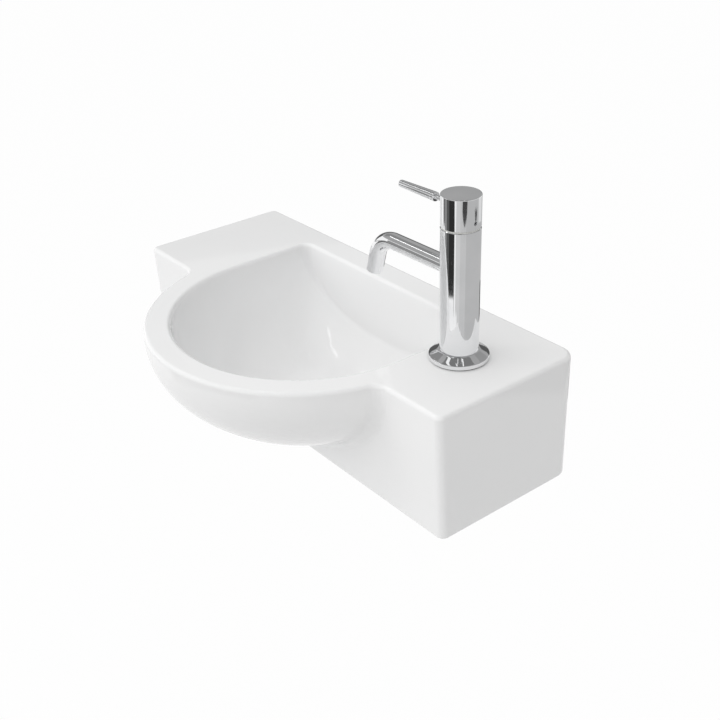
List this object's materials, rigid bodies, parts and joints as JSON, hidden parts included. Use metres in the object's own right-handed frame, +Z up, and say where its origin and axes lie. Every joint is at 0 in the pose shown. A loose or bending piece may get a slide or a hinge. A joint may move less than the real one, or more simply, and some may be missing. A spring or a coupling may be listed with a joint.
{
  "type": "wall-hung washbasin with tap",
  "caption": "Wall-hung ceramic washbasin: a block with a round dish, a D-shaped bowl, a grid waste and a chrome cold-water pillar tap whose lever turns a quarter turn.",
  "frame": {"origin": "on the wall face, midway between the two wall-fixing holes; the rim lies 60 mm above it", "axes": "+Z up, +Y towards the wall, +X to the right seen from the front"},
  "size_m": [0.45, 0.272, 0.2795],
  "materials": {
    "glaze": "glossy white glaze",
    "chrome": "polished chrome plate",
    "brass": "turned, unplated",
    "rubber": "moulded, matt",
    "steel": "stainless, turned",
    "nylon": "moulded, matt",
    "alumina": "ground and lapped"
  },
  "bodies": {
    "basin": {"basin_body": "glaze", "waste_grid": "chrome", "waste_screw": "steel", "waste_top_seal": "rubber", "waste_bottom_seal": "rubber", "waste_tail": "chrome", "tap_column": "chrome", "tap_base_flange": "chrome", "tap_base_seal": "rubber", "tap_shank": "brass", "tap_rubber_washer": "rubber", "tap_steel_washer": "steel", "tap_lock_nut": "brass", "spout_tube": "chrome", "spout_o_ring": "rubber", "aerator_ring": "chrome", "aerator_insert": "nylon", "slip_ring": "nylon", "cartridge_seat_seal": "rubber", "cartridge_body": "brass", "fixed_disc": "alumina"},
    "handle": {"handle_cap": "chrome", "lever_stud": "chrome", "lever_sleeve": "chrome", "grub_screw": "steel", "spindle": "brass", "moving_disc": "alumina", "spindle_o_rings": "rubber", "spindle_circlip": "steel"}
  },
  "joints": [
    {"name": "handle_turn", "type": "hinge", "parent": "basin", "child": "handle", "pos_m": [0.1625, -0.079, 0.178], "axis": [0, 0, 1], "range_deg": [0, 90]}
  ]
}
